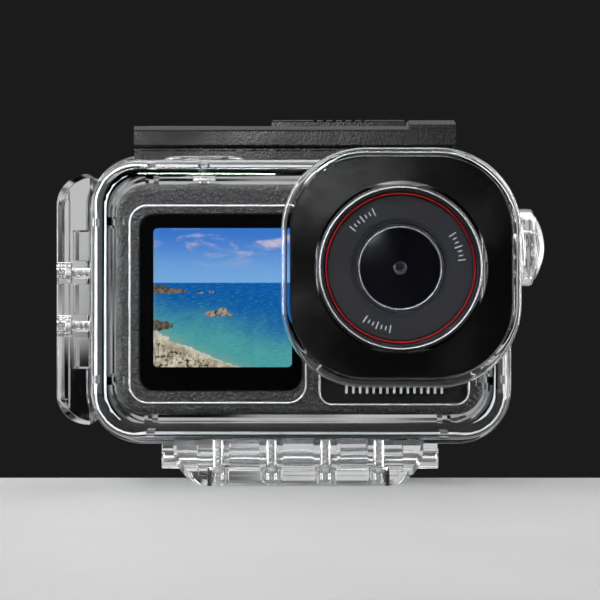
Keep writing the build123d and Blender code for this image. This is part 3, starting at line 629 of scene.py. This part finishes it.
def makeScaleMarks():
    # three groups of plain ticks round the label ring, like a dial's, in place of lettering
    marks = {"radius": 11.6, "groups": (128, 20, -112), "count": 7, "step": 4.2, "long": 1.5, "short": 0.8,
             "proud": 0.03, "thick": 0.10, "wide": 0.22}
    low, _ = boxMm("lens_label_ring")
    number = np.arange(marks["count"])
    degrees = np.concatenate([g + (number - number.mean()) * marks["step"] for g in marks["groups"]])
    angle = np.radians(degrees)
    length = np.tile(np.where(number % 3 == 0, marks["long"], marks["short"]), len(marks["groups"]))
    middles = np.stack([lensX + marks["radius"] * np.cos(angle), np.full(len(angle), low[1] + marks["proud"]),
                        lensZ + marks["radius"] * np.sin(angle)], 1)
    sizes = np.stack([length, np.full(len(angle), marks["thick"]), np.full(len(angle), marks["wide"])], 1)
    softBoxes("scaleMarks", middles, sizes, "printGrey", "case", -angle)


def makeBadgeMarks():
    # one even row of equal plain ticks along the plate's field: x runs in steps of the pitch about the middle
    row = {"count": 15, "pitch": 1.3, "wide": 0.45, "high": 1.6, "raised": 0.12, "drop": 1.7}
    low, high = boxMm("badge_plate")
    number = np.arange(row["count"]) - (row["count"] - 1) / 2
    x = (low[0] + high[0]) / 2 + number * row["pitch"]
    field = low[1] + 0.25 - row["raised"] / 2
    z = (low[2] + high[2]) / 2 - row["drop"]
    middles = np.stack([x, np.full(len(x), field), np.full(len(x), z)], 1)
    sizes = np.tile((row["wide"], row["raised"], row["high"]), (len(x), 1))
    softBoxes("badgeTicks", middles, sizes, "printGrey", "case")


def roundedPath(width, height, corner, x, z, arc=14):
    # rounded rectangle in XZ as points and outward directions: four quarter turns, each about its
    # corner's centre
    start = np.radians([0, 90, 180, 270])[:, None]
    angle = start + np.linspace(0, np.pi / 2, arc)[None]
    side = np.array([(1, 1), (-1, 1), (-1, -1), (1, -1)], float)
    centre = side * (np.array([width, height]) / 2 - corner)
    out = np.stack([np.cos(angle), np.sin(angle)], -1)
    points = centre[:, None] + corner * out + np.array([x, z])
    return points.reshape(-1, 2), out.reshape(-1, 2)


def alongPath(path, out, profile):
    # (offset outward, y) profile carried along a path in XZ
    offset, depth = np.array(profile, float).T
    flat = path[:, None] + out[:, None] * offset[None, :, None]
    return np.stack([flat[..., 0], np.broadcast_to(depth, flat.shape[:2]), flat[..., 1]], -1)


def makeBrightLines():
    # polished chamfers round the screen frame and the badge plate
    line = {"width": 0.34, "proud": 0.06, "past": 0.04, "deep": 0.5, "edge": 0.14,
            "corners": {"screen_bezel": 3.6, "badge_plate": 2.6}}
    for node, corner in line["corners"].items():
        low, high = boxMm(node)
        size, middle = high - low, (high + low) / 2
        path, out = roundedPath(size[0], size[2], corner, middle[0], middle[2])
        front = low[1] - line["proud"]
        near, far, back = -line["width"], line["past"], front + line["deep"]
        strip = rounded([(near, front), (far, front), (far, back), (near, back)], line["edge"])
        piece = node.split("_")[0] + "BrightLine"
        newPiece(piece, meshFromGrid(piece, alongPath(path, out, strip), True, True), "polishedLine", "case")


def makeScreenBorder():
    # the print behind the front glass: a flat frame from the picture's edge out to just
    # inside the glass's edge
    border = {"inset": 0.25, "thin": 0.05, "overlap": 0.05, "corner": 2.8, "windowCorner": 0.85}
    glassLow, glassHigh = boxMm("front_screen_glass")
    low, high = boxMm("front_display")
    y = low[1] - border["thin"] - 0.02
    outerSize = glassHigh - glassLow - 2 * border["inset"]
    innerSize = high - low - 2 * border["overlap"]
    glassMiddle, middle = (glassLow + glassHigh) / 2, (low + high) / 2
    outer, _ = roundedPath(outerSize[0], outerSize[2], border["corner"], glassMiddle[0], glassMiddle[2])
    inner, _ = roundedPath(innerSize[0], innerSize[2], border["windowCorner"], middle[0], middle[2])
    loops = [(outer, y), (inner, y), (inner, y + border["thin"]), (outer, y + border["thin"])]
    rings = [np.stack([flat[:, 0], np.full(len(flat), deep), flat[:, 1]], -1) for flat, deep in loops]
    grid = np.stack(rings, 1)
    newPiece("screenBorder", meshFromGrid("screenBorder", grid, True, True), "printBlack", "case")


def screwGrid(length, screw):
    # rows up the screw: rounded head, then a shank whose radius waves with height minus angle, so that it
    # winds; the last two rows close the tip
    steps = screw["steps"]
    angle = np.linspace(0, 2 * np.pi, steps, endpoint=False)[None, :]
    head = np.array([*screw["head"], (screw["core"], 0.0)])
    height = np.linspace(0.05, length - 0.5, int(length / screw["pitch"] * 12))[:, None]
    wave = np.abs(((height / screw["pitch"] - angle / (2 * np.pi)) % 1.0) * 2 - 1)
    shank = screw["core"] + (screw["crest"] - screw["core"]) * wave
    tip = np.array([(screw["core"] * 0.8, length - 0.3), (0.0, length)])
    rings = np.vstack([np.repeat(head[:, :1], steps, 1), shank, np.repeat(tip[:, :1], steps, 1)])
    level = np.concatenate([head[:, 1], height[:, 0], tip[:, 1]])[:, None] + np.zeros((1, steps))
    return rings * np.cos(angle), rings * np.sin(angle), level


def makeScrews():
    screw = {"pitch": 1.05, "core": 0.58, "crest": 0.98, "headHigh": 1.3, "steps": 32,
             "head": ((0, -1.3), (1.3, -1.3), (1.75, -1.05), (1.85, -0.6), (1.85, 0.0)),
             "base": (-15.5, -5.2, 5.2, 15.5), "side": (-5.1, 5.1)}
    for kind, up in (("base", 2), ("side", 0)):  # the bottom base's screws stand up, the side's lie along X
        node = "bottom_base_screws" if kind == "base" else "side_base_screws"
        low, high = boxMm(node)
        a, b, level = screwGrid(high[up] - low[up] - screw["headHigh"], screw)
        middle = (low + high) / 2
        for number, shift in enumerate(screw[kind]):
            rise = low[up] + screw["headHigh"] + level
            if kind == "base":
                points = np.stack([middle[0] + shift + a, middle[1] + b, rise], -1)
            else:
                points = np.stack([rise, middle[1] + a, middle[2] + shift + b], -1)
            name = f"{kind}Screw{number}"
            stoodFor = [node] if number == 0 else []  # the first screw stands for the whole node
            newPiece(name, meshFromGrid(name, points, False, True), "steel", "case", *stoodFor)


def makeSprings():
    # round wire wound about the button's axis: the middle line climbs with the angle at a fixed radius, and
    # the wire's own circle lies in the plane of the outward direction and the axis
    coils = {  # axes across and up, joint, turns, wire (mm), share of the height that is kept when pressed
        "shutter": ((0, 1, 2), "shutter_press", 0.95, 0.18, 0.15),
        "mode": ((1, 2, 0), "mode_press", 1.6, 0.38, 0.43),
    }
    for name, ((first, second, rise), joint, turns, wire, kept) in coils.items():
        node = name + "_spring"
        low, high = boxMm(node)
        radius = (high[first] - low[first] - wire) / 2
        along = np.linspace(0, 1, int(turns * 64))[:, None]
        around = np.linspace(0, 2 * np.pi, 12, endpoint=False)[None, :]
        reach = radius + wire / 2 * np.cos(around) + 0 * along
        points = np.empty((along.shape[0], 12, 3))
        points[..., first] = (low[first] + high[first]) / 2 + reach * np.cos(2 * np.pi * turns * along)
        points[..., second] = (low[second] + high[second]) / 2 + reach * np.sin(2 * np.pi * turns * along)
        climb = along * (high[rise] - low[rise] - wire)
        points[..., rise] = low[rise] + wire / 2 + climb + wire / 2 * np.sin(around)
        mesh = meshFromGrid(name + "Coil", points, False, True)
        piece = newPiece(name + "Coil", mesh, "steel", "case", node)
        anchor = (low + high) / 2
        anchor[rise] = low[rise]
        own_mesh(piece)


makeLensRings()
makeLensGlass()
makeSprings()
makeScaleMarks()
makeBadgeMarks()
makeBrightLines()
makeScreenBorder()
makeScrews()
print("stage: lens, springs, marks, bright lines, border and screws made")

edges = {"bottom_base": 0.25, "side_base": 0.25, "latch_lever": 0.18, "lock_slider": 0.15,
         "camera_rear_cover": 0.1}
looks = {
    "clearShell": ["front_shell", "rear_door", "bottom_base", "side_base"],
    "clearButton": ["shutter_plunger", "mode_plunger"],
    "portGlass": ["port_window"],
    "maskBlack": ["port_mask"],
    "latchGrain": ["latch_lever", "lock_slider"],
    "steel": ["hinge_pin", "latch_pin", "shutter_clip", "mode_clip", "camera_screws"],
    "paleSilicone": ["door_gasket", "rear_pads"],
    "softBlack": ["shutter_o_ring", "mode_o_ring", "speaker", "usb_cover", "battery_latch", "lens_retainer"],
    "bodyGrain": ["camera_front_cover", "camera_rear_cover", "battery_door", "camera_shutter_button",
                  "camera_power_button", "screen_bezel"],
    "trimBlack": ["badge_plate", "lens_housing"],
    "screenGlass": ["front_screen_glass", "rear_screen_glass"],
    "frontPicture": ["front_display"],
    "rearPicture": ["rear_display"],
    "turnedBlack": ["lens_tube"],
    "coatedLens": ["lens_cover_glass"],
    "boardGreen": ["main_board", "sensor_board"],
    "sensorGlass": ["image_sensor"],
    "cellWrap": ["battery"],
    "heatSheet": ["heat_spreader"],
}
for finish, nodes in looks.items():
    for node in nodes:
        smoothCopy(node, finish, edge=edges.get(node, 0.0))
print("stage: node shapes smoothed")


def makeFloor():
    # one pale sheet carried along X: it runs level under the base, turns down just behind it and runs level
    # again lower down, so that the open door has room; each bend is a quarter turn, z = centre +- r sin a
    bend = np.linspace(0, np.pi / 2, 9)
    edge, small, large = floor["edgeY"], floor["crest"], floor["cove"]
    crest = np.stack([edge - small + small * np.sin(bend), small * np.cos(bend) - small], 1)
    cove = np.stack([edge + large - large * np.cos(bend), large - floor["drop"] - large * np.sin(bend)], 1)
    run = np.vstack([[(floor["frontY"], 0.0)], crest, cove, [(floor["backY"], -floor["drop"])]])
    x = np.linspace(-floor["halfWide"], floor["halfWide"], 9)
    grid = np.empty((len(x), len(run), 3))
    grid[..., 0] = x[:, None]
    grid[..., 1:] = run[None]
    mesh = meshFromGrid("studioFloor", grid, False, False, 60)
    material, tree, shader = newMaterial("floorPale", Roughness=0.6)
    cloudy = noise(tree, places(tree), 30.0, 4.0)
    tree.links.new(mixColours(tree, cloudy, floor["shade"], floor["light"]), shader.inputs["Base Color"])
    mesh.materials.append(material)
    made = bpy.data.objects.new("studioFloor", mesh)
    bpy.context.scene.collection.objects.link(made)


makeFloor()
print("stage: floor made")
